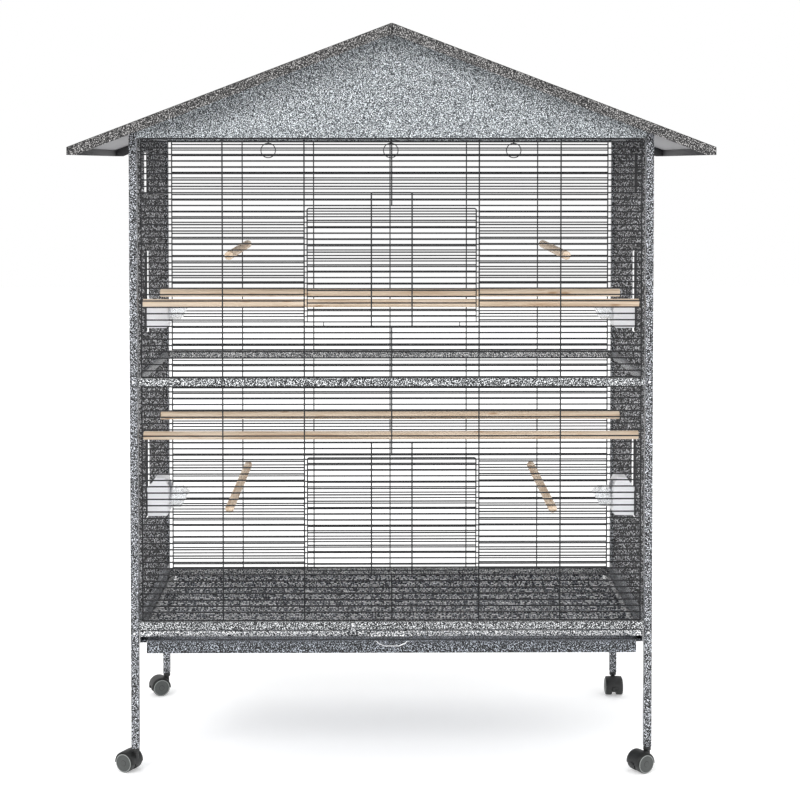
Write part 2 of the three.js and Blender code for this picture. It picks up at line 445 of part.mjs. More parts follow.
const CX = HALF_W - TUBE / 2, CY = HALF_D - TUBE / 2;
castor('front_left', -CX, -CY, -0.883, 0.469);
castor('front_right', CX, -CY, -0.866, -0.5);
castor('back_left', -CX, CY, -0.943, -0.333);
castor('back_right', CX, CY, 0, -1);

export default root;
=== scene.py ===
import bpy
import bmesh
import math
from mathutils import Matrix, Vector


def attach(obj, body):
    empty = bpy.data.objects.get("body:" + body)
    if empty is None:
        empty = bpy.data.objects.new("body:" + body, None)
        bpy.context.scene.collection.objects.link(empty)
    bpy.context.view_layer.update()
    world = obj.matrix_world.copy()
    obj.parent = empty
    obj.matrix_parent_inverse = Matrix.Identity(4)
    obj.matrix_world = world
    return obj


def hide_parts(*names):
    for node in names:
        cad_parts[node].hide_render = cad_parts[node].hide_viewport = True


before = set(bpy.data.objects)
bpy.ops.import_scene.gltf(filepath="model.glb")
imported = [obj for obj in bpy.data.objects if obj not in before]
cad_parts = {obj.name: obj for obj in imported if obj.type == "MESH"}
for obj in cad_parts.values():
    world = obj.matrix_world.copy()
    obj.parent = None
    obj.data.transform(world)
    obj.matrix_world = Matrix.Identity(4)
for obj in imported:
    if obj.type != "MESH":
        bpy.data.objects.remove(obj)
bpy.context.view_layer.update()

U = 0.001  # everything below is in millimetres
SIDES = (("left", -1), ("right", 1))
ENDS = (("front", -1), ("back", 1))

# sizes, the same as the CAD's
HALF_W, HALF_D, TUBE = 538.0, 279.0, 16.0
MID_Z, LOW_Z, TOP_Z, POST_TOP = (801.0, 817.0), (296.5, 312.5), 1311.0, 1333.0
BACK_LOW_Z, BACK_LOWER_ROW = (283.0, 299.0), 388.1
ROOF_W, ROOF_D, RIDGE_Z, EAVE_Z, EAVE_LOW, FASCIA = 655.0, 335.0, 1541.5, 1291.5, 1275.5, 23.0
SLOPE = (RIDGE_Z - EAVE_Z) / ROOF_W
PITCH, HINGE_UP, HINGE_LOW, ROWS = 13.08, 923.68, 409.28, 19
GY, GX, BAY, DOOR = 271.0, 514.0, 180.0, 175.0
SX, EDGE_Y = 530.0, 258.5
FEED_UP, FEED_LOW, NEST_Z = (890.0, 1072.0), (487.0, 676.0), (1193.0, 1282.0)


def K(k):
    return 13.0 * k


# ------------------------------------------------------------------ geometry
class Geo:
    def __init__(self):
        self.v, self.f, self.m = [], [], []

    def add(self, verts, faces, mat=0):
        o = len(self.v)
        self.v += [tuple(p) for p in verts]
        self.f += [tuple(i + o for i in f) for f in faces]
        self.m += [mat] * len(faces)

    def bm(self, bm, mat=0, matrix=None):
        bm.verts.ensure_lookup_table()
        for i, v in enumerate(bm.verts):
            v.index = i
        vs = [(matrix @ v.co) if matrix else v.co for v in bm.verts]
        self.add(vs, [[v.index for v in f.verts] for f in bm.faces], mat)
        bm.free()


def tube(g, pts, r, n=8, closed=False, mat=0, cap=True):
    P = [Vector(p) for p in pts]
    k = len(P)
    tang = []
    for i in range(k):
        if closed:
            a = (P[(i + 1) % k] - P[i]).normalized() + (P[i] - P[i - 1]).normalized()
        elif i == 0:
            a = P[1] - P[0]
        elif i == k - 1:
            a = P[-1] - P[-2]
        else:
            a = (P[i + 1] - P[i]).normalized() + (P[i] - P[i - 1]).normalized()
        tang.append(a.normalized())
    up = Vector((0, 0, 1)) if abs(tang[0].z) < 0.9 else Vector((1, 0, 0))
    nrm = (up - tang[0] * up.dot(tang[0])).normalized()
    verts = []
    for i in range(k):
        if i:
            nrm = tang[i - 1].rotation_difference(tang[i]) @ nrm
            nrm = (nrm - tang[i] * nrm.dot(tang[i])).normalized()
        b = tang[i].cross(nrm)
        for j in range(n):
            t = 2 * math.pi * (j + 0.5) / n
            verts.append(P[i] + nrm * (r * math.cos(t)) + b * (r * math.sin(t)))
    faces = []
    for i in range(k if closed else k - 1):
        o0, o1 = i * n, ((i + 1) % k) * n
        for j in range(n):
            j1 = (j + 1) % n
            faces.append((o0 + j, o0 + j1, o1 + j1, o1 + j))
    if not closed and cap:
        faces.append(tuple(range(n - 1, -1, -1)))
        faces.append(tuple((k - 1) * n + j for j in range(n)))
    g.add(verts, faces, mat)


def rounded(pts, radius, steps=4, closed=False):
    """The polyline with each corner turned on an arc."""
    P = [Vector(p) for p in pts]
    out, k = [], len(P)
    for i in range(k):
        if not closed and i in (0, k - 1):
            out.append(P[i])
            continue
        a, b, c = P[i - 1], P[i], P[(i + 1) % k]
        u, v = (a - b), (c - b)
        lim = 0.49 * min(u.length, v.length)
        u.normalize()
        v.normalize()
        th = math.acos(max(-1, min(1, u.dot(v))))
        if th > math.pi - 0.02:
            out.append(b)
            continue
        t = min(radius / math.tan(th / 2), lim)
        rr = t * math.tan(th / 2)
        centre = b + (u + v).normalized() * (rr / math.sin(th / 2))
        p0, p1 = b + u * t - centre, b + v * t - centre
        total = p0.angle(p1)
        axis = p0.cross(p1).normalized()
        for s in range(steps + 1):
            out.append(centre + Matrix.Rotation(total * s / steps, 3, axis) @ p0)
    return out


def rbox(g, x0, x1, y0, y1, z0, z1, r=1.2, seg=2, mat=0, matrix=None):
    bm = bmesh.new()
    bmesh.ops.create_cube(bm, size=1)
    for v in bm.verts:
        v.co = Vector((x0 if v.co.x < 0 else x1, y0 if v.co.y < 0 else y1, z0 if v.co.z < 0 else z1))
    if r > 0:
        bmesh.ops.bevel(bm, geom=list(bm.edges), offset=r, segments=seg, profile=0.6, affect="EDGES", clamp_overlap=True)
    g.bm(bm, mat, matrix)


def to_plane(plane, u, v, t):
    return {"xz": (u, t, v), "yz": (t, u, v), "xy": (u, v, t)}[plane]


def prism_bm(plane, t0, t1, pts, r=0.0, seg=2):
    bm = bmesh.new()
    vs = [bm.verts.new(to_plane(plane, u, v, t0)) for u, v in pts]
    face = bm.faces.new(vs)
    ext = bmesh.ops.extrude_face_region(bm, geom=[face])
    d = Vector(to_plane(plane, 0, 0, t1 - t0))
    bmesh.ops.translate(bm, vec=d, verts=[e for e in ext["geom"] if isinstance(e, bmesh.types.BMVert)])
    bmesh.ops.recalc_face_normals(bm, faces=bm.faces)
    if r > 0:
        bmesh.ops.bevel(bm, geom=list(bm.edges), offset=r, segments=seg, profile=0.6, affect="EDGES", clamp_overlap=True)
    return bm


def prism(g, plane, t0, t1, pts, r=0.0, seg=2, mat=0, matrix=None):
    g.bm(prism_bm(plane, t0, t1, pts, r, seg), mat, matrix)


def lathe(g, profile, origin, axis, n=32, mat=0, matrix=None):
    """profile: (radius, height) along axis, from one end on the axis to the other, or a closed ring."""
    origin, axis = Vector(origin), Vector(axis).normalized()
    ref = Vector((0, 0, 1)) if abs(axis.z) < 0.9 else Vector((1, 0, 0))
    e1 = (ref - axis * ref.dot(axis)).normalized()
    e2 = axis.cross(e1)
    verts, faces, rings = [], [], []
    for r, h in profile:
        if r < 1e-6:
            rings.append([len(verts)])
            verts.append(origin + axis * h)
        else:
            rings.append(list(range(len(verts), len(verts) + n)))
            for j in range(n):
                a = 2 * math.pi * j / n
                verts.append(origin + axis * h + e1 * (r * math.cos(a)) + e2 * (r * math.sin(a)))
    pairs = list(zip(rings, rings[1:]))
    if profile[0][0] > 1e-6 and profile[-1][0] > 1e-6:
        pairs.append((rings[-1], rings[0]))
    for a, b in pairs:
        if len(a) == 1 and len(b) == 1:
            continue
        for j in range(n):
            k = (j + 1) % n
            if len(a) == 1:
                faces.append((a[0], b[k], b[j]))
            elif len(b) == 1:
                faces.append((a[j], a[k], b[0]))
            else:
                faces.append((a[j], a[k], b[k], b[j]))
    if matrix:
        verts = [matrix @ v for v in verts]
    g.add(verts, faces, mat)


def sheet_strip(g, line, t, x0, x1, mat=0):
    """A folded sheet: line is its middle line as (y, z), t its thickness, drawn from x0 to x1."""
    P = [Vector(p) for p in line]
    off = []
    for i, p in enumerate(P):
        a = (P[i] - P[i - 1]).normalized() if i else (P[1] - P[0]).normalized()
        b = (P[i + 1] - P[i]).normalized() if i + 1 < len(P) else a
        m = (a + b).normalized()
        n = Vector((-m.y, m.x))
        off.append(n * (t / 2 / max(0.5, m.dot(a))))
    ring = [p + o for p, o in zip(P, off)] + [p - o for p, o in reversed(list(zip(P, off)))]
    k = len(ring)
    verts = [(x, p.x, p.y) for x in (x0, x1) for p in ring]
    faces = [(i, (i + 1) % k, k + (i + 1) % k, k + i) for i in range(k)]
    h = len(P)
    for i in range(h - 1):
        j = k - 1 - i
        faces.append((i + 1, i, j, j - 1))
        faces.append((k + i, k + i + 1, k + j - 1, k + j))
    g.add(verts, faces, mat)


def finish_mesh(me, angle):
    bm = bmesh.new()
    bm.from_mesh(me)
    bmesh.ops.remove_doubles(bm, verts=bm.verts, dist=1e-7)
    bmesh.ops.recalc_face_normals(bm, faces=bm.faces)
    bm.to_mesh(me)
    bm.free()
    me.polygons.foreach_set("use_smooth", [True] * len(me.polygons))
    me.set_sharp_from_angle(angle=math.radians(angle))
    me.update()


def piece(name, g, mats, body, replaces=(), angle=34):
    mats = mats if isinstance(mats, (list, tuple)) else [mats]
    me = bpy.data.meshes.new(name)
    me.from_pydata([Vector(p) * U for p in g.v], [], g.f)
    for m in mats:
        me.materials.append(m)
    me.polygons.foreach_set("material_index", g.m)
    finish_mesh(me, angle)
    obj = bpy.data.objects.new(name, me)
    bpy.context.scene.collection.objects.link(obj)
    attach(obj, body)
    if replaces:
        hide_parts(*replaces)
    return obj


# ------------------------------------------------------------------ materials
def lin(r, g, b):
    return tuple(((c / 255) / 12.92 if c / 255 <= 0.04045 else ((c / 255 + 0.055) / 1.055) ** 2.4) for c in (r, g, b)) + (1.0,)


def new_mat(name):
    m = bpy.data.materials.new(name)
    m.use_nodes = True
    nt = m.node_tree
    return m, nt, nt.nodes["Principled BSDF"]


def node(nt, kind, **inputs):
    n = nt.nodes.new(kind)
    for k, v in inputs.items():
        n.inputs[k.replace("_", " ")].default_value = v
    return n


def coords(nt, scale=(1, 1, 1), turn=(0, 0, 0)):
    tc = nt.nodes.new("ShaderNodeTexCoord")
    mp = nt.nodes.new("ShaderNodeMapping")
    mp.inputs["Scale"].default_value = scale
    mp.inputs["Rotation"].default_value = turn
    nt.links.new(tc.outputs["Object"], mp.inputs["Vector"])
    return mp.outputs["Vector"]


def ramp(nt, source, stops, interp="LINEAR"):
    r = nt.nodes.new("ShaderNodeValToRGB")
    r.color_ramp.interpolation = interp
    els = r.color_ramp.elements
    while len(els) > 1:
        els.remove(els[-1])
    els[0].position, els[0].color = stops[0]
    for p, c in stops[1:]:
        e = els.new(p)
        e.color = c
    nt.links.new(source, r.inputs["Fac"])
    return r.outputs["Color"]


def hammertone(name, dark, mid, light, scale=430.0, rough=0.42, metal=0.15, bump=0.35, lo=0.41, mean=0.52, hi=0.64):
    """Hammered enamel: a fine mottle of dark and light flakes over shallow dimples."""
    m, nt, p = new_mat(name)
    vec = coords(nt, turn=(0.45, 0.61, 0.83))
    fine = node(nt, "ShaderNodeTexNoise", Scale=scale, Detail=1.4, Roughness=0.55)
    nt.links.new(vec, fine.inputs["Vector"])
    broad = node(nt, "ShaderNodeTexNoise", Scale=scale * 0.2, Detail=2.0, Roughness=0.5)
    nt.links.new(vec, broad.inputs["Vector"])
    col = ramp(nt, fine.outputs["Fac"], [(lo, dark), (mean, mid), (hi, light)])
    tone = ramp(nt, broad.outputs["Fac"], [(0.3, (0.86, 0.86, 0.86, 1)), (0.7, (1.12, 1.12, 1.12, 1))])
    mix = nt.nodes.new("ShaderNodeMix")
    mix.data_type = "RGBA"
    mix.blend_type = "MULTIPLY"
    mix.inputs["Factor"].default_value = 1.0
    nt.links.new(col, mix.inputs["A"])
    nt.links.new(tone, mix.inputs["B"])
    nt.links.new(mix.outputs["Result"], p.inputs["Base Color"])
    b = node(nt, "ShaderNodeBump", Strength=bump, Distance=0.0004)
    nt.links.new(fine.outputs["Fac"], b.inputs["Height"])
    nt.links.new(b.outputs["Normal"], p.inputs["Normal"])
    p.inputs["Roughness"].default_value = rough
    p.inputs["Metallic"].default_value = metal
    return m


def enamel(name, colour, rough=0.4, metal=0.2, vary=0.12, scale=120.0):
    m, nt, p = new_mat(name)
    noise = node(nt, "ShaderNodeTexNoise", Scale=scale, Detail=2.0)
    nt.links.new(coords(nt), noise.inputs["Vector"])
    a = tuple(c * (1 - vary) for c in colour[:3]) + (1,)
    b = tuple(min(1, c * (1 + vary)) for c in colour[:3]) + (1,)
    nt.links.new(ramp(nt, noise.outputs["Fac"], [(0.35, a), (0.65, b)]), p.inputs["Base Color"])
    p.inputs["Roughness"].default_value = rough
    p.inputs["Metallic"].default_value = metal
    return m


def wood(name, along):
    m, nt, p = new_mat(name)
    s = {"x": (5, 130, 130), "y": (130, 5, 130)}[along]
    vec = coords(nt, s)
    grain = node(nt, "ShaderNodeTexNoise", Scale=1.0, Detail=5.0, Roughness=0.6, Distortion=0.6)
    nt.links.new(vec, grain.inputs["Vector"])
    col = ramp(nt, grain.outputs["Fac"], [(0.3, lin(192, 160, 130)), (0.45, lin(222, 199, 173)), (0.6, lin(240, 221, 199)), (0.75, lin(206, 177, 147))])
    s2 = {"x": (13, 60, 60), "y": (60, 13, 60)}[along]
    knots = node(nt, "ShaderNodeTexVoronoi", Scale=1.0, Randomness=1.0)
    nt.links.new(coords(nt, s2), knots.inputs["Vector"])
    spot = ramp(nt, knots.outputs["Distance"], [(0.0, (0.36, 0.22, 0.12, 1)), (0.10, (0.62, 0.45, 0.3, 1)), (0.2, (1, 1, 1, 1))])
    mix = nt.nodes.new("ShaderNodeMix")
    mix.data_type = "RGBA"
    mix.blend_type = "MULTIPLY"
    mix.inputs["Factor"].default_value = 0.75
    nt.links.new(col, mix.inputs["A"])
    nt.links.new(spot, mix.inputs["B"])
    nt.links.new(mix.outputs["Result"], p.inputs["Base Color"])
    b = node(nt, "ShaderNodeBump", Strength=0.25, Distance=0.0005)
    nt.links.new(grain.outputs["Fac"], b.inputs["Height"])
    nt.links.new(b.outputs["Normal"], p.inputs["Normal"])
    p.inputs["Roughness"].default_value = 0.6
    return m


def plastic(name, colour, rough=0.4, vary=0.06, bump=0.0):
    m, nt, p = new_mat(name)
    noise = node(nt, "ShaderNodeTexNoise", Scale=90.0, Detail=3.0)
    nt.links.new(coords(nt), noise.inputs["Vector"])
    a = tuple(c * (1 - vary) for c in colour[:3]) + (1,)
    b = tuple(min(1, c * (1 + vary)) for c in colour[:3]) + (1,)
    nt.links.new(ramp(nt, noise.outputs["Fac"], [(0.3, a), (0.7, b)]), p.inputs["Base Color"])
    if bump:
        fine = node(nt, "ShaderNodeTexNoise", Scale=900.0, Detail=2.0)
        nt.links.new(coords(nt), fine.inputs["Vector"])
        bp = node(nt, "ShaderNodeBump", Strength=bump, Distance=0.0002)
        nt.links.new(fine.outputs["Fac"], bp.inputs["Height"])
        nt.links.new(bp.outputs["Normal"], p.inputs["Normal"])
    p.inputs["Roughness"].default_value = rough
    return m


def metal(name, colour, rough=0.25):
    m, nt, p = new_mat(name)
    noise = node(nt, "ShaderNodeTexNoise", Scale=260.0, Detail=3.0)
    nt.links.new(coords(nt), noise.inputs["Vector"])
    r = nt.nodes.new("ShaderNodeMapRange")
    r.inputs["To Min"].default_value = rough * 0.8
    r.inputs["To Max"].default_value = rough * 1.25
    nt.links.new(noise.outputs["Fac"], r.inputs["Value"])
    nt.links.new(r.outputs["Result"], p.inputs["Roughness"])
    a = tuple(c * 0.94 for c in colour[:3]) + (1,)
    nt.links.new(ramp(nt, noise.outputs["Fac"], [(0.35, a), (0.65, tuple(colour[:3]) + (1,))]), p.inputs["Base Color"])
    p.inputs["Metallic"].default_value = 1.0
    return m


def clear(name):
    m, nt, p = new_mat(name)
    p.inputs["Base Color"].default_value = (0.94, 0.96, 0.98, 1)
    p.inputs["Roughness"].default_value = 0.08
    p.inputs["IOR"].default_value = 1.3
    p.inputs["Transmission Weight"].default_value = 0.85
    p.inputs["Alpha"].default_value = 0.55
    return m


M_FRAME = hammertone("hammered_grey", lin(2, 3, 4), lin(24, 26, 30), lin(240, 244, 252), 530, lo=0.46, mean=0.54, hi=0.635)
M_RAIL = hammertone("hammered_grey_rail", lin(16, 18, 21), lin(88, 92, 98), lin(255, 255, 255), 520, lo=0.41, mean=0.51, hi=0.62)
M_RAIL_FRONT = hammertone("hammered_grey_front_rail", lin(3, 4, 5), lin(40, 43, 49), lin(250, 253, 255), 470, lo=0.44, mean=0.525, hi=0.61)
M_GABLE = hammertone("hammered_grey_sheet", lin(24, 27, 30), lin(100, 107, 112), lin(244, 250, 254), 560, lo=0.43, mean=0.52, hi=0.62)
M_ROOF = hammertone("hammered_grey_roof", lin(4, 4, 5), lin(36, 35, 36), lin(196, 194, 193), 520, lo=0.45, mean=0.54, hi=0.65)
M_TRAY = hammertone("hammered_grey_tray", lin(2, 3, 4), lin(18, 20, 24), lin(200, 207, 218), 470, lo=0.46, mean=0.54, hi=0.64)
# painted light and shade: a lighter copy of the tray paint on the tray's inside, for light on its shaded floor; also a
# shade colour for the grate's front plate
M_PAINTED_LIGHT_AND_SHADE_INSIDE = hammertone("hammered_grey_painted_light_and_shade_inside", lin(4, 5, 7), lin(36, 39, 46), lin(206, 213, 226), 380, lo=0.43, mean=0.52, hi=0.62)
M_GRATE = hammertone("hammered_grey_grate", lin(4, 6, 10), lin(84, 90, 102), lin(255, 255, 255), 260, lo=0.44, mean=0.5, hi=0.56)
M_STRIP = hammertone("hammered_grey_strip", lin(8, 10, 13), lin(150, 156, 164), lin(255, 255, 255), 440, lo=0.45, mean=0.52, hi=0.58)
M_SIDE = hammertone("hammered_grey_side_wire", lin(1, 1, 2), lin(18, 19, 21), lin(200, 201, 205), 330, lo=0.43, mean=0.53, hi=0.63)
M_SOFFIT = enamel("plain_grey_underside", lin(136, 136, 139), rough=0.55, metal=0.0, vary=0.05, scale=8)
M_WIRE = enamel("grey_wire", lin(28, 29, 32), rough=0.38, metal=0.25, vary=0.5, scale=430)
# dark wire paint; also painted shade for the shadow line on the tray's lip, the shadow outline behind the turn latch
# and the hole shadows at the grate's pull
M_DARK_WIRE_AND_PAINTED_SHADE = enamel("dark_wire_and_painted_shade", lin(26, 28, 31), rough=0.4, metal=0.3)
# painted shade: a dark grey for the shade on the inner faces of the roof's folded edges
M_PAINTED_SHADE_FOLD = enamel("painted_shade_fold", lin(46, 46, 49), rough=0.6, metal=0.0, vary=0.2, scale=300)
M_BRIGHT = metal("zinc_wire", lin(190, 191, 193), 0.28)
M_LATCH = hammertone("zinc_plate", lin(60, 62, 66), lin(150, 153, 158), lin(255, 255, 255), 420)
M_SCREW = metal("zinc_screw", lin(225, 226, 228), 0.18)
M_PINE_X = wood("pine_lengthways", "x")
M_PINE_Y = wood("pine_crossways", "y")
M_WHITE = plastic("white_moulding", lin(240, 241, 245), 0.32, 0.015)
M_CLEAR = clear("clear_moulding")
M_BLACK = plastic("black_moulding", lin(26, 27, 27), 0.5, 0.3, 0.15)
M_TREAD = plastic("dark_grey_moulding", lin(34, 36, 35), 0.5, 0.2, 0.15)
M_FACE = plastic("grey_wheel_face", lin(68, 71, 70), 0.45, 0.08, 0.1)
# painted highlight: a light grey for the highlight on the bevelled rim of each wheel face
M_PAINTED_HIGHLIGHT_RIM = plastic("wheel_rim_painted_highlight", lin(138, 142, 140), 0.4, 0.1)

# ------------------------------------------------------------------ posts and rails
for end, ey in ENDS:
    for side, sx in SIDES:
        cx, cy = sx * (HALF_W - 8), ey * (HALF_D - 8)
        g = Geo()
        rbox(g, cx - 8, cx + 8, cy - 8, cy + 8, 50, POST_TOP, 1.5, 3)
        piece(f"{end}_{side}_post_tube", g, M_FRAME, "cage", [f"{end}_{side}_post"])
    y0 = -HALF_D if ey < 0 else HALF_D - TUBE
    for nm, (z0, z1) in (("mid", MID_Z), ("bottom", LOW_Z if ey < 0 else BACK_LOW_Z)):
        g = Geo()
        rbox(g, -521.7, 521.7, y0, y0 + TUBE, z0, z1, 1.5, 3)
        piece(f"{end}_{nm}_rail_tube", g, M_RAIL_FRONT if ey < 0 else M_RAIL, "cage", [f"{end}_{nm}_rail"])


def screw(g, p, axis, r=3.3, mat=0):
    prof = [(0, -1.0), (r, -1.0), (r, 0.5), (r * 0.88, 1.15), (r * 0.6, 1.6), (r * 0.34, 1.72), (r * 0.3, 1.1), (0, 1.05)]
    lathe(g, prof, p, axis, 18, mat)


# ------------------------------------------------------------------ gables and roof
def under(x):
    return RIDGE_Z - SLOPE * abs(x) - 1.5 * math.sqrt(1 + SLOPE * SLOPE) - 0.6


for end, ey in ENDS:
    g = Geo()
    x1 = 521.7
    pts = [(-x1, TOP_Z), (x1, TOP_Z), (x1, under(x1)), (4, under(4)), (4, under(0) - 24), (-4, under(0) - 24), (-4, under(4)), (-x1, under(x1))]
    a, b = (-HALF_D, -HALF_D + 1.5) if ey < 0 else (HALF_D - 1.5, HALF_D)
    prism(g, "xz", a, b, pts, 0.5, 2)
    lo, hi = (-HALF_D + 0.8, -HALF_D + TUBE) if ey < 0 else (HALF_D - TUBE, HALF_D - 0.8)
    rbox(g, -x1 + 0.3, x1 - 0.3, lo, hi, TOP_Z + 0.05, TOP_Z + 1.6, 0.4)
    lo, hi = (-HALF_D + TUBE - 1.5, -HALF_D + TUBE) if ey < 0 else (HALF_D - TUBE, HALF_D - TUBE + 1.5)
    rbox(g, -x1 + 0.5, x1 - 0.5, lo, hi, TOP_Z + 0.1, TOP_Z + TUBE, 0.4)
    piece(f"{end}_gable_sheet", g, M_GABLE, "cage", [f"{end}_gable_plate"])

for side, sx in SIDES:
    g = Geo()
    t = 1.5
    s = math.sqrt(1 + SLOPE * SLOPE)
    top = lambda x: RIDGE_Z - SLOPE * x
    low_x = (RIDGE_Z - FASCIA - EAVE_LOW) / SLOPE
    r0 = 0.35
    # sloping sheet with its eave and ridge flanges, one folded strip
    outer = [(r0, top(r0) - FASCIA), (r0, top(r0)), (ROOF_W, EAVE_Z), (ROOF_W, EAVE_LOW)]
    inner = [(ROOF_W - t, EAVE_LOW), (ROOF_W - t, top(ROOF_W - t) - t * s), (r0 + t, top(r0 + t) - t * s), (r0 + t, top(r0) - FASCIA)]
    prism(g, "xz", -ROOF_D, ROOF_D, [(sx * x, z) for x, z in outer + inner], 0.35, 2)
    # front and back folded edges
    fas = [(r0, top(r0)), (r0, top(r0) - FASCIA), (low_x, EAVE_LOW), (ROOF_W, EAVE_LOW), (ROOF_W, EAVE_Z)]
    for a, b in ((-ROOF_D, -ROOF_D + t), (ROOF_D - t, ROOF_D)):
        prism(g, "xz", a, b, [(sx * x, z) for x, z in fas], 0.35, 2)
    obj = piece(f"{side}_roof_sheet", g, [M_ROOF, M_SOFFIT, M_PAINTED_SHADE_FOLD], "cage", [f"{side}_roof_panel"])
    # index 1 is the plain underside; index 2 is painted shade, the dark grey on the inner faces of the eave fold and
    # of the front and back folds
    for poly in obj.data.polygons:
        if poly.normal.z < -0.5 and poly.center.z > EAVE_LOW * U + 0.004 and abs(poly.center.y) < (ROOF_D - 2) * U:
            poly.material_index = 1
        elif (-sx * poly.normal.x > 0.9 and sx * poly.center.x > (ROOF_W - 3) * U) or (abs(poly.normal.y) > 0.9 and abs(abs(poly.center.y) - (ROOF_D - t) * U) < 0.0004):
            poly.material_index = 2


# ------------------------------------------------------------------ front and back grilles
WR = 1.55  # radius of the horizontal wires


def rows(z0, z1, hinge):
    out = []
    z = hinge
    while z > z0 + 8:
        out.insert(0, z)
        z -= PITCH
    z = hinge + PITCH
    while z < z1 - 5:
        out.append(z)
        z += PITCH
    return out


def grille(name, ey, z0, z1, hinge, door):
    g = Geo()
    y, yi = ey * GY, ey * (GY - 1.9)
    top = hinge + ROWS * PITCH
    for z in rows(z0, z1, hinge):
        if door and hinge + 1 < z < top - 1:
            tube(g, [(-GX, y, z), (-BAY - 0.4, y, z)], WR)
            tube(g, [(BAY + 0.4, y, z), (GX, y, z)], WR)
        else:
            tube(g, [(-GX, y, z), (GX, y, z)], WR)
    for x in (-GX, GX):
        tube(g, [(x, y, z0 + 0.2), (x, y, z1 - 0.2)], 1.5)
    for z in (z0 + 1.5, z1 - 1.5):
        tube(g, [(-GX - 1.4, y, z), (GX + 1.4, y, z)], 1.5)
    for x in (-348, -180, 180, 348) + (() if door else (0,)):
        tube(g, [(x, yi, z0 + 0.5), (x, yi, z1 - 0.5)], 1.5 if ey < 0 else 1.4, mat=1)
    if door:
        tube(g, [(0, yi, z0 + 0.5), (0, yi, hinge + 0.9)], 1.5, mat=1)
        tube(g, [(0, yi, top - 0.9), (0, yi, z1 - 0.5)], 1.5, mat=1)
    piece(name + "_wires", g, [M_WIRE, M_DARK_WIRE_AND_PAINTED_SHADE], "cage", [name], angle=60)


UP, DOWN = (MID_Z[1] + 0.4, TOP_Z - 0.4), (LOW_Z[1] + 0.4, MID_Z[0] - 0.4)
grille("front_upper_grille", -1, UP[0], UP[1], HINGE_UP, True)
grille("front_lower_grille", -1, DOWN[0], DOWN[1], HINGE_LOW, True)
grille("back_upper_grille", 1, UP[0], UP[1], HINGE_UP, False)
grille("back_lower_grille", 1, BACK_LOW_Z[1] + 0.4, DOWN[1], BACK_LOWER_ROW, False)

# ------------------------------------------------------------------ drop doors and their spring latches
for nm, zh in (("upper", HINGE_UP), ("lower", HINGE_LOW)):
    g = Geo()
    y = -GY
    z0, z1, b = zh + 7.4 + 1.3, zh + 243.62 - 1.3, DOOR - 1.3
    frame_path = rounded([(-b, y, z0), (b, y, z0), (b, y, z1), (-b, y, z1)], 1.0, 2, True)
    corner = 4.0
    path = [Vector((-b, y, z0)), Vector((b, y, z0)), Vector((b, y, z1 - corner))]
    for i in range(1, 9):
        a = math.pi / 2 * i / 8
        path.append(Vector((b - corner + corner * math.cos(a), y, z1 - corner + corner * math.sin(a))))
    for i in range(0, 9):
        a = math.pi / 2 + math.pi / 2 * i / 8
        path.append(Vector((-b + corner + corner * math.cos(a), y, z1 - corner + corner * math.sin(a))))
    tube(g, path, 1.5, 8, closed=True, mat=1)
    for k in range(1, ROWS):
        z = z0 + k * PITCH
        if z0 + 3 < z < z1 - 4:
            dz = z - (z1 - corner)
            w = b if dz <= 0 else b - corner + math.sqrt(max(0, corner * corner - dz * dz))
            tube(g, [(-w, y, z), (w, y, z)], WR)
    for x in (-140, 140):
        # eyelet bent round the hinge wire
        pts = [(x, y + 2.45 * math.sin(t), zh + 2.45 * math.cos(t)) for t in [math.radians(a) for a in range(20, 345, 18)]]
        tube(g, [(x, y, z0)] + [(x, y + 0.4, zh + 5.2)] + pts, 0.95)
    piece(f"{nm}_door_wires", g, [M_WIRE, M_DARK_WIRE_AND_PAINTED_SHADE], f"{nm}_door", [f"{nm}_door"], angle=60)

    g = Geo()
    L, yl, top = 41.8, -GY - 3.1, zh + 274.92

    def loop(x):
        ring = [(x, -GY - 2.5 * math.sin(t), zh + 2.5 * math.cos(t)) for t in [math.radians(a) for a in range(-30, -306, -18)]]
        return ring

    def leg(x):
        arc = [Vector((x, -GY - 2.55 * math.cos(math.radians(a)), zh + 2.55 * math.sin(math.radians(a)))) for a in range(-275, 1, 15)]
        return arc + [Vector((x, yl, zh + 6))]
    left, right = leg(-L), leg(L)
    path = left + rounded([left[-1], (-L, yl, top), (L, yl, top), right[-1]], 3.0, 5)[1:-1] + list(reversed(right))
    tube(g, path, 1.5, 10)
    piece(f"{nm}_door_latch_wire", g, M_DARK_WIRE_AND_PAINTED_SHADE, f"{nm}_door_latch", [f"{nm}_door_latch"], angle=60)


# ------------------------------------------------------------------ side panels
FEED_Y, NEST_Y = (K(-8), K(-2)), (K(-8), K(-3))


def side_panel(name, sx, z0, z1, openings, cross, rails, guides):
    g = Geo()
    rx = sorted((sx * HALF_W, sx * (HALF_W - TUBE)))
    for z in rails:
        rbox(g, rx[0], rx[1], -262.7, 262.7, z, z + TUBE, 1.5, 3, mat=1)
    x = sx * SX
    for k in range(-19, 20):
        y = K(k)
        cuts = sorted([(o[2], o[3]) for o in openings if o[0] + 1 < y < o[1] - 1])
        v = z0
        for a, b in cuts:
            tube(g, [(x, y, v), (x, y, a)], 1.0)
            v = b
        tube(g, [(x, y, v), (x, y, z1)], 1.0)
    for y0, y1, a, b in openings:
        for z in (a, b):
            tube(g, [(x, y0, z), (x, y1, z)], 1.0)
    for s in (-1, 1):
        tube(g, [(x, s * EDGE_Y, z0), (x, s * EDGE_Y, z1)], 1.5)
    for z in cross:
        tube(g, [(x - sx * 2.2, -EDGE_Y - 1, z), (x - sx * 2.2, EDGE_Y + 1, z)], 1.2, mat=2)
    for z in guides:
        tube(g, rounded([(x, K(-9), z), (x + sx * 3.0, K(-9), z), (x + sx * 3.0, K(3), z), (x, K(3), z)], 1.4, 3), 1.0)
    piece(name + "_wires", g, [M_SIDE, M_FRAME, M_DARK_WIRE_AND_PAINTED_SHADE], "cage", [name], angle=50)


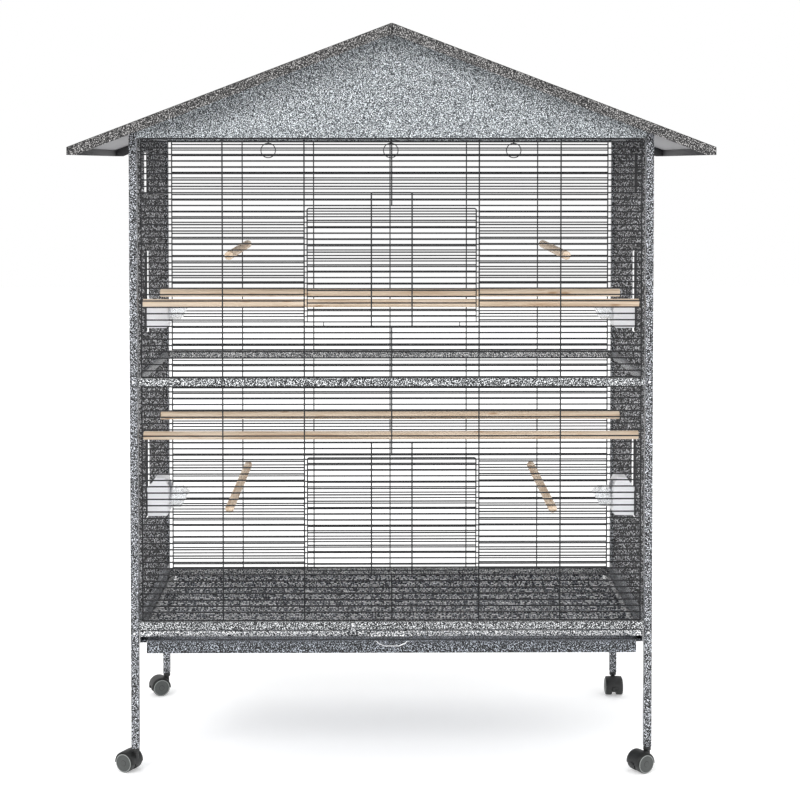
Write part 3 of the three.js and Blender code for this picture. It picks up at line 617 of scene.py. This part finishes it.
for side, sx in SIDES:
    side_panel(f"{side}_upper_panel", sx, MID_Z[1] + 0.4, TOP_Z + 0.6, [FEED_Y + FEED_UP, NEST_Y + NEST_Z], [FEED_UP[1] + 6, NEST_Z[0] - 4], [TOP_Z], [NEST_Z[0] - 6.2, NEST_Z[1] + 6.2])
    side_panel(f"{side}_lower_panel", sx, LOW_Z[1] - 0.6, MID_Z[0] + 0.6, [FEED_Y + FEED_LOW], [FEED_LOW[1] + 6, FEED_LOW[0] - 4], [LOW_Z[0], MID_Z[0]], [])
    g = Geo()
    o = sorted((sx * 520.2, sx * 521.7))
    rbox(g, o[0], o[1], -262.7, 262.7, 266, LOW_Z[0] + 2.6, 0.4)
    for z in (266.3, 281.2):
        o = sorted((sx * 508, sx * 521.0))
        rbox(g, o[0], o[1], -262.2, 262.2, z, z + 1.5, 0.4)
    piece(f"{side}_tray_runner_sheet", g, M_FRAME, "cage", [f"{side}_tray_runner"])


# ------------------------------------------------------------------ small doors at the sides
def flap(g, sx, y0, y1, z0, z1):
    x = sx * (SX + 2.4)
    path = rounded([(x, y0 + 1.1, z0 + 1.1), (x, y1 - 1.1, z0 + 1.1), (x, y1 - 1.1, z1 - 1.1), (x, y0 + 1.1, z1 - 1.1)], 4, 4, True)
    tube(g, path, 1.1, 8, closed=True)
    for k in range(-8, 6):
        y = K(k) + 6.5
        if y0 + 5.4 < y < y1 - 5.4:
            tube(g, [(x, y, z0 + 1), (x, y, z1 - 1)], 1.0)


for side, sx in SIDES:
    for lv, fz in (("upper", FEED_UP), ("lower", FEED_LOW)):
        g = Geo()
        top = fz[1] - 3.6
        flap(g, sx, K(-8) + 0.4, K(-8) + 60, fz[0] + 2, top)
        for y in (-97.5, -58.5):
            arc = [(sx * (SX + 2.4 * math.cos(t)), y, fz[1] + 2.4 * math.sin(t)) for t in [math.radians(a) for a in range(-50, 275, 18)]]
            tube(g, [(sx * (SX + 2.4), y, top - 4)] + arc, 0.9)
        piece(f"{side}_{lv}_cup_door_wires", g, M_WIRE, f"{side}_{lv}_cup_door", [f"{side}_{lv}_cup_door"], angle=60)
for side, sx, shift in (("left", -1, 66), ("right", 1, 0)):
    g = Geo()
    flap(g, sx, K(-8) - 1 + shift, K(-3) + 1 + shift, NEST_Z[0] - 4.6, NEST_Z[1] + 4.6)
    piece(f"{side}_nest_door_wires", g, M_WIRE, f"{side}_nest_door", [f"{side}_nest_door"], angle=60)


# ------------------------------------------------------------------ cups with a clear guard
def raw_object(bm, name="tool"):
    me = bpy.data.meshes.new(name)
    bm.to_mesh(me)
    bm.free()
    ob = bpy.data.objects.new(name, me)
    bpy.context.scene.collection.objects.link(ob)
    return ob


def boolean(ob, tools):
    for tob, op in tools:
        m = ob.modifiers.new("b", "BOOLEAN")
        m.operation, m.object, m.solver = op, tob, "EXACT"
    bpy.context.view_layer.update()
    dg = bpy.context.evaluated_depsgraph_get()
    me = bpy.data.meshes.new_from_object(ob.evaluated_get(dg))
    bm = bmesh.new()
    bm.from_mesh(me)
    for o in [ob] + [t for t, _ in tools]:
        bpy.data.objects.remove(o, do_unlink=True)
    bpy.data.meshes.remove(me)
    return bm


def cup(side, sx, lv, zb):
    hooded = lv == "lower"
    P = lambda pts: [(sx * x, zb + z) for x, z in pts]
    y0, y1 = -98.0, -32.0
    outer = [(526, 0), (526, 59), (510, 82), (489, 82), (480, 62), (480, 8), (484, 0)] if hooded else [(526, 0), (526, 58), (480, 58), (480, 8), (484, 0)]
    body = raw_object(prism_bm("xz", y0, y1, P(outer), 2.6 if hooded else 2.0, 3))
    inner = [(524, 2), (524, 58.3), (509, 80), (490.4, 80), (482, 61.5), (482, 8.6), (485.1, 2)] if hooded else [(524, 2), (524, 66), (482, 66), (482, 8.6), (485.1, 2)]
    hollow = raw_object(prism_bm("xz", y0 + 2, y1 - 2, P(inner), 1.6, 2))
    xs = sorted((sx * 470, sx * 488.5))
    bm = bmesh.new()
    bmesh.ops.create_cube(bm, size=1)
    for v in bm.verts:
        v.co = Vector((xs[0] if v.co.x < 0 else xs[1], y0 + 8 if v.co.y < 0 else y1 - 8, zb + 34 if v.co.z < 0 else zb + (70 if hooded else 76)))
    bmesh.ops.bevel(bm, geom=list(bm.edges), offset=3, segments=3, profile=0.6, affect="EDGES")
    mouth = raw_object(bm)
    g = Geo()
    g.bm(boolean(body, [(hollow, "DIFFERENCE"), (mouth, "DIFFERENCE")]))
    # hooks over the wire of the opening
    for y in (-90, -44):
        tube(g, rounded([(sx * 524.6, y, zb + 40), (sx * 525.4, y, zb + 60), (sx * 527.0, y, zb + 60), (sx * 527.0, y, zb + 52)], 0.8, 3), 0.9)
    # raised rim along the mouth
    rt = zb + (61 if hooded else 57)
    rim = rounded([(sx * 479.9, y0 + 7, rt), (sx * 479.9, y0 + 7, zb + 33), (sx * 479.9, y1 - 7, zb + 33), (sx * 479.9, y1 - 7, rt)], 3, 3)
    tube(g, rim, 1.1, 8)
    name = f"{side}_{lv}_cup"
    piece(name + "_moulding", g, M_WHITE, name, [name])
    out = raw_object(prism_bm("xz", y0 + 5, y1 - 5, P([(479.6, 19), (454, 19), (440, 45), (454, 56), (479.6, 56)]), 1.2, 3))
    ins = raw_object(prism_bm("xz", y0 + 6.4, y1 - 6.4, P([(486, 20.6), (455, 20.6), (441.8, 44.9), (457, 57.5), (457, 66), (486, 66)]), 0.8, 2))
    g = Geo()
    g.bm(boolean(out, [(ins, "DIFFERENCE")]))
    guard = piece(name + "_guard", g, M_CLEAR, name)


for side, sx in SIDES:
    for lv, zb in (("upper", 904.0), ("lower", 497.0)):
        cup(side, sx, lv, zb)


# ------------------------------------------------------------------ perches
def perch(name, p0, p1, r, mat):
    g = Geo()
    p0, p1 = Vector(p0), Vector(p1)
    ax = (p1 - p0).normalized()
    L = (p1 - p0).length
    prof = [(0, 0), (r - 1.2, 0), (r - 0.4, 0.35), (r, 1.2), (r, L * 0.25), (r, L * 0.5), (r, L * 0.75), (r, L - 1.2), (r - 0.4, L - 0.35), (r - 1.2, L), (0, L)]
    lathe(g, prof, p0, ax, 28)
    piece(name + "_dowel", g, mat, "cage", [name])


for lv, z in (("upper", 962), ("lower", 680)):
    for end, ey in ENDS:
        perch(f"{end}_{lv}_perch", (-526.5, ey * 150, z), (526.5, ey * 150, z), 9, M_PINE_X)
for lv, side, x, z in (("upper", "left", -335, 1069), ("upper", "right", 360, 1069), ("lower", "left", -335, 546), ("lower", "right", 333, 545)):
    perch(f"{side}_{lv}_cross_perch", (x, -266.5, z), (x, 266.5, z), 9, M_PINE_Y)

# ------------------------------------------------------------------ hook bar and rings
RING_X, HOOK_Z = (-270, 0, 271), 1300.7
g = Geo()
rbox(g, -521.7, 521.7, -8, 8, TOP_Z, TOP_Z + 10, 1.0, 2)
for x in RING_X:
    tube(g, rounded([(x, -6, TOP_Z + 1), (x, -6, HOOK_Z), (x, 6, HOOK_Z), (x, 6, TOP_Z + 1)], 2.0, 4), 1.0, 8, mat=1)
piece("toy_bar_and_hooks", g, [M_FRAME, M_DARK_WIRE_AND_PAINTED_SHADE], "cage", ["toy_bar"])
for nm, x in zip(("left", "middle", "right"), RING_X):
    g = Geo()
    zc = HOOK_Z + 2.3 - 16
    pts = [(x + 16 * math.sin(2 * math.pi * i / 40), 0, zc + 16 * math.cos(2 * math.pi * i / 40)) for i in range(40)]
    tube(g, pts, 1.0, 10, closed=True)
    piece(f"{nm}_ring_wire", g, M_DARK_WIRE_AND_PAINTED_SHADE, f"{nm}_hanging_ring", [f"{nm}_hanging_ring"], angle=60)

# ------------------------------------------------------------------ floor grate
GZ, STRIP_TOP = 284.0, 293.8
g = Geo()
y = -252
while y <= 253:
    tube(g, [(-512, y, GZ), (512, y, GZ)], 1.0)
    y += 13
for s in (-1, 1):
    x0, x1 = sorted((s * 508, s * 518))
    rbox(g, x0, x1, -262, 262, GZ - 1, GZ + 1, 0.5, mat=0)
tube(g, [(-508, 259, GZ), (508, 259, GZ)], 1.6)
for x in (-347, -174, 0, 174, 347):
    tube(g, [(x, -277.5, GZ + 2.3), (x, 259, GZ + 2.3)], 0.9)
n0, n1 = -89, -71
strip = [(-518, GZ - 1), (518, GZ - 1), (518, STRIP_TOP), (n1, STRIP_TOP), (n1, GZ + 1.2), (n0, GZ + 1.2), (n0, STRIP_TOP), (-518, STRIP_TOP)]
prism(g, "xz", -278.5, -277.0, strip, 0.35, 2, mat=1)
# painted shade: the grate's front plate behind the strip gets a darker colour than the strip, for the shade inside the
# cage
rbox(g, -518, 518, -278.0, -258, GZ - 1, GZ + 0.5, 0.4, mat=3)
tube(g, rounded([(-48, -277.5, 289), (-48, -297, 289), (45, -297, 289), (45, -277.5, 289)], 5, 5), 1.5, 10, mat=0)
# painted shade: dark rings where the pull wire meets the strip, for the shadow in its holes
for x in (-48, 45):
    lathe(g, [(0, 0), (2.9, 0), (2.9, 0.5), (2.3, 0.9), (0, 0.9)], (x, -278.3, 289), (0, -1, 0), 20, 2)
piece("floor_grate_wires", g, [M_GRATE, M_STRIP, M_DARK_WIRE_AND_PAINTED_SHADE, M_PAINTED_LIGHT_AND_SHADE_INSIDE], "floor_grate", ["floor_grate"], angle=50)

# ------------------------------------------------------------------ tray and its bail handle
g = Geo()
line = [(-282.3, 249.4), (-282.3, 258), (-282.3, 265.2), (-282.7, 268.6), (-283.8, 271.6), (-285.6, 274.4), (-288.2, 276.8), (-291.6, 278.8), (-295.2, 280.2), (-298.6, 281.3)]
sheet_strip(g, line, 1.4, -500, 500)
tube(g, [(-500, -299.2, 281.6), (500, -299.2, 281.6)], 0.95, 10)
rbox(g, -505, 505, -282, 262, 249.2, 250.4, 0.4)
for x0, x1 in ((-505, -503.8), (503.8, 505)):
    rbox(g, x0, x1, -282, 262, 249.3, 271.4, 0.4)
rbox(g, -505, 505, -282, -280.6, 249.3, 271.4, 0.4)
rbox(g, -505, 505, 260.8, 262, 249.3, 271.4, 0.4)
rbox(g, -504.7, 504.7, 260.4, 261.7, 260, 282.4, 0.4)
for x0, x1 in ((-518, -504.2), (504.2, 518)):
    rbox(g, x0, x1, -261.5, 261.5, 269.8, 271.2, 0.4)
for s in (-1, 1):
    o = sorted((s * 32.4, s * 34.2))
    prism(g, "yz", o[0], o[1], [(-298.4, 276.0), (-297.6, 275.0), (-295.4, 275.0), (-294.2, 276.0), (-293.8, 280.4), (-298.6, 281.0)], 0.3, 1)
tray = piece("tray_sheet", g, [M_TRAY, M_PAINTED_LIGHT_AND_SHADE_INSIDE, M_DARK_WIRE_AND_PAINTED_SHADE], "tray", ["tray"])
# painted light: the tray's inside and its upward faces get the lighter copy of the tray paint, to brighten the shaded
# floor
for poly in tray.data.polygons:
    if poly.center.y > -0.2818 or (poly.normal.z > 0.25 and poly.center.y > -0.2975):
        poly.material_index = 1
    # painted shadow: the top of the tray's rolled lip and its bead are made dark, for the shadow line between the
    # grate strip and the tray
    if poly.center.y < -0.290 and poly.center.z > 0.2793:
        poly.material_index = 2
g = Geo()
yh, zh = -296.5, 277.2
tube(g, rounded([(-35.5, yh, zh), (-30.6, yh, zh), (-28.0, yh, zh - 4), (-15.0, yh, zh - 9.5), (15.0, yh, zh - 9.5), (28.0, yh, zh - 4), (30.6, yh, zh), (35.5, yh, zh)], 3.0, 5), 1.15, 12)
piece("tray_bail", g, M_SCREW, "tray_handle", ["tray_handle"], angle=60)

# ------------------------------------------------------------------ turn latch
g = Geo()
zc, tip, lx = 305.2, 285.4, -80.0
pts = [(lx + 6.0 * math.cos(math.radians(a)), zc + 6.0 * math.sin(math.radians(a))) for a in range(0, 181, 15)]
pts += [(lx - 4.4, zc - 7.5), (lx - 7, tip + 5), (lx - 7, tip + 1.5), (lx - 5.5, tip), (lx + 5.5, tip), (lx + 7, tip + 1.5), (lx + 7, tip + 5), (lx + 4.4, zc - 7.5)]
prism(g, "xz", -HALF_D - 1.8, -HALF_D - 0.5, pts, 0.3, 1)
# painted shadow: a dark plate a little larger than the latch, behind it, for the shadow round its edge
back = [(lx + 7.4 * math.cos(math.radians(a)), zc + 7.4 * math.sin(math.radians(a))) for a in range(0, 181, 15)]
back += [(lx - 6.2, zc - 7.5), (lx - 8.6, tip + 5), (lx - 8.6, tip - 1.4), (lx + 8.6, tip - 1.4), (lx + 8.6, tip + 5), (lx + 6.2, zc - 7.5)]
prism(g, "xz", -HALF_D - 0.5, -HALF_D - 0.3, back, 0, 1, 2)
screw(g, (lx, -HALF_D - 1.8, zc), (0, -1, 0), 3.4, 1)
lathe(g, [(0, 0), (2.0, 0), (2.0, 0.5), (1.2, 0.9), (0, 0.9)], (lx, -HALF_D - 1.7, tip + 5.2), (0, -1, 0), 16, 2)
piece("turn_latch_plate", g, [M_LATCH, M_SCREW, M_DARK_WIRE_AND_PAINTED_SHADE], "turn_latch", ["turn_latch"])

# ------------------------------------------------------------------ screws of the frame
g = Geo()
for ey in (-1, 1):
    for sx in (-1, 1):
        for z in (809, 289 if ey < 0 else 291):
            screw(g, (sx * 530.5, ey * HALF_D, z), (0, ey, 0), 3.1)
piece("frame_screws", g, M_SCREW, "cage")


# ------------------------------------------------------------------ castors
def castor(name, cx, cy, dx, dy):
    mat = Matrix.Translation((cx, cy, 0)) @ Matrix.Rotation(math.atan2(dy, dx), 4, "Z")
    T, R = 17.0, 20.0
    g = Geo()
    # hood over both wheels: a crowned band round the axle, open below
    n, verts, faces = 22, [], []
    prof = [(20.9, -18.4), (22.0, -18.6), (22.7, -17.4), (23.0, -12), (23.1, 0), (23.0, 12), (22.7, 17.4), (22.0, 18.6), (20.9, 18.4), (20.9, 6), (20.9, -6)]
    k = len(prof)
    for i in range(n + 1):
        a = math.radians(-4 + 188 * i / n)
        for r, h in prof:
            verts.append(Vector((T + r * math.cos(a), h, R + r * math.sin(a))))
    for i in range(n):
        for j in range(k):
            j1 = (j + 1) % k
            faces.append((i * k + j, i * k + j1, (i + 1) * k + j1, (i + 1) * k + j))
    faces.append(tuple(range(k - 1, -1, -1)))
    faces.append(tuple(n * k + j for j in range(k)))
    g.add([mat @ v for v in verts], faces)
    # web between the wheels
    web = [(21.4 * math.cos(math.radians(a)), 21.4 * math.sin(math.radians(a))) for a in range(-24, 205, 8)]
    web = [(T + x, R + z) for x, z in web] + [(T - 14, R - 11), (T + 14, R - 11)]
    prism(g, "xz", -4.4, 4.4, web, 0.5, 1, matrix=mat)
    # neck, collar and stem
    lathe(g, [(0, 24), (5.4, 24), (5.2, 34), (4.6, 39), (4.9, 41), (7.6, 42.4), (8.0, 43.4), (8.0, 48.4), (7.4, 49.4), (4.0, 49.5), (4.0, 73.5), (3.2, 74.4), (0, 74.4)], (0, 0, 0), (0, 0, 1), 24, 0, mat)
    prism(g, "xz", -4.6, 4.6, [(-5.0, 27), (8, 40.4), (4.4, 41.4), (-4.4, 41.4)], 0.8, 2, matrix=mat)
    # small brake tab at the trailing edge
    rbox(g, T + 20.6, T + 25.4, -5.5, 5.5, R - 2.2, R + 2.6, 1.2, 2, matrix=mat)
    piece(f"{name}_castor_hood", g, M_BLACK, f"{name}_castor", [f"{name}_castor"])
    g = Geo()
    for s in (-1, 1):
        w0 = 5.2
        prof = [(0, w0), (18.8, w0), (19.7, w0 + 0.5), (20.0, w0 + 1.6), (20.0, w0 + 12.2), (19.6, w0 + 13.8), (18.6, w0 + 14.9), (17.4, w0 + 15.3)]
        prof2 = [(17.4, w0 + 15.3), (16.9, w0 + 14.9), (16.6, w0 + 14.5), (6.2, w0 + 14.8), (5.4, w0 + 15.2), (0, w0 + 15.2)]
        prof = [(r, s * h) for r, h in prof]
        prof2 = [(r, s * h) for r, h in prof2]
        lathe(g, prof + prof2, (T, 0, R), (0, 1, 0), 40, 0, mat)
    lathe(g, [(0, -9), (3, -9), (3, 9), (0, 9)], (T, 0, R), (0, 1, 0), 16, 0, mat)
    ob = piece(f"{name}_castor_wheels", g, [M_TREAD, M_FACE, M_PAINTED_HIGHLIGHT_RIM], f"{name}_wheels", [f"{name}_wheels"])
    ax = (mat.to_3x3() @ Vector((0, 1, 0))).normalized()
    for p in ob.data.polygons:
        if abs(p.normal.dot(ax)) > 0.9 and abs((p.center / U - (mat @ Vector((T, 0, R)))).dot(ax)) > 15:
            p.material_index = 1
        # painted highlight: the outer ring of each wheel face gets the light grey
        d = p.center / U - (mat @ Vector((T, 0, R)))
        if abs(d.dot(ax)) > 19.4 and 16.8 < (d - ax * d.dot(ax)).length < 18.9:
            p.material_index = 2


CX, CY = HALF_W - 8, HALF_D - 8
castor("front_left", -CX, -CY, -0.883, 0.469)
castor("front_right", CX, -CY, -0.866, -0.5)
castor("back_left", -CX, CY, -0.943, -0.333)
castor("back_right", CX, CY, 0, -1)

# ------------------------------------------------------------------ floor, light, camera
scene = bpy.context.scene
scene.view_settings.view_transform = "Standard"
me = bpy.data.meshes.new("floor")
me.from_pydata([(-14, -9, 0), (14, -9, 0), (14, 14, 0), (-14, 14, 0)], [], [(0, 1, 2, 3)])
floor = bpy.data.objects.new("floor", me)
scene.collection.objects.link(floor)
m, nt, p = new_mat("floor_white")
p.inputs["Base Color"].default_value = (0.97, 0.97, 0.97, 1)
p.inputs["Roughness"].default_value = 0.85
p.inputs["Specular IOR Level"].default_value = 0.1
p.inputs["Emission Color"].default_value = (1, 1, 1, 1)
p.inputs["Emission Strength"].default_value = 0.3
me.materials.append(m)

world = bpy.data.worlds.new("studio")
world.use_nodes = True
world.node_tree.nodes["Background"].inputs[0].default_value = (1, 1, 1, 1)
world.node_tree.nodes["Background"].inputs[1].default_value = 1.0
scene.world = world


def area(name, loc, target, size, power):
    light = bpy.data.lights.new(name, "AREA")
    light.shape, light.size, light.energy = "SQUARE", size, power
    ob = bpy.data.objects.new(name, light)
    ob.location = loc
    d = Vector(target) - Vector(loc)
    ob.rotation_euler = d.to_track_quat("-Z", "Y").to_euler()
    scene.collection.objects.link(ob)
    return ob


area("key", (-2.2, -3.6, 3.4), (0, 0, 0.8), 1.6, 70)
area("fill", (3.0, -3.2, 1.6), (0, 0, 0.8), 2.2, 25)

cam = bpy.data.cameras.new("camera")
camera = bpy.data.objects.new("camera", cam)
scene.collection.objects.link(camera)
camera.location = (-0.02692, -3.91837, 1.25818)
camera.rotation_euler = (math.radians(90 - 1.858), 0, math.radians(-0.526))
cam.sensor_width = 36
cam.lens = 1777.13 * 36 / 800
cam.shift_x = (400 - 394.91) / 800
cam.shift_y = (221.21 - 400) / 800
cam.clip_end = 60
scene.camera = camera
